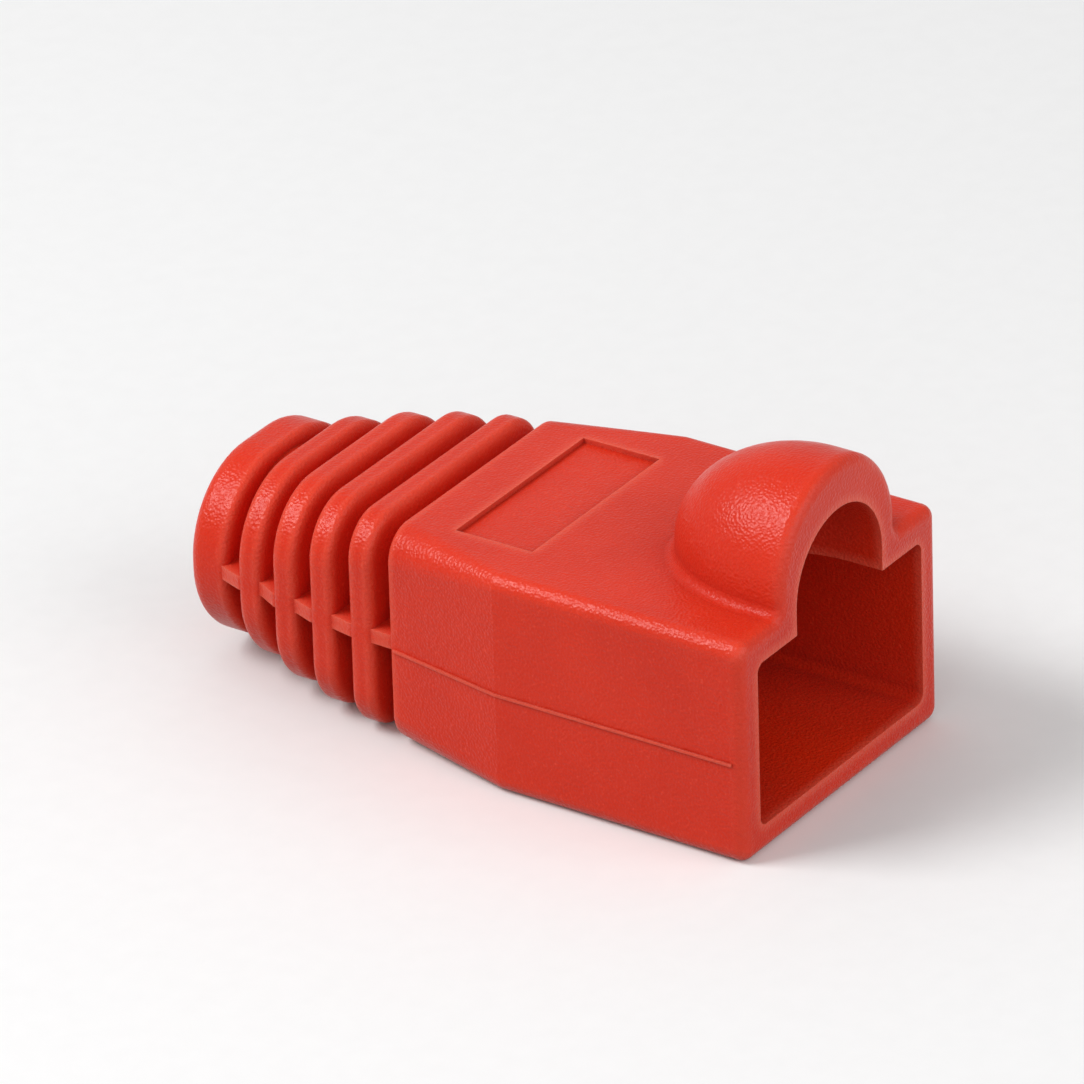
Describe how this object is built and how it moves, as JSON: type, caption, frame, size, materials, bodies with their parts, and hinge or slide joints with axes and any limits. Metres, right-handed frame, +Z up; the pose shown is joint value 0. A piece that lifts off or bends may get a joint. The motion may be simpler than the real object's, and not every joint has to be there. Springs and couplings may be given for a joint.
{
  "type": "rj45 strain relief boot",
  "caption": "Soft push-on boot for an eight-contact network plug: a box socket with an arched latch cover runs into a ribbed, round strain relief tail for the cable.",
  "frame": {"origin": "centre of the base: the middle of the bounding box in X and Y, on the flat underside of the housing", "axes": "+X across the boot, +Y from the open plug end to the cable end, +Z up through the latch cover"},
  "size_m": [0.014, 0.0272, 0.0141],
  "materials": {
    "soft_pvc": "satin with a very fine grain"
  },
  "bodies": {
    "root": {"boot": "soft_pvc"}
  },
  "joints": []
}
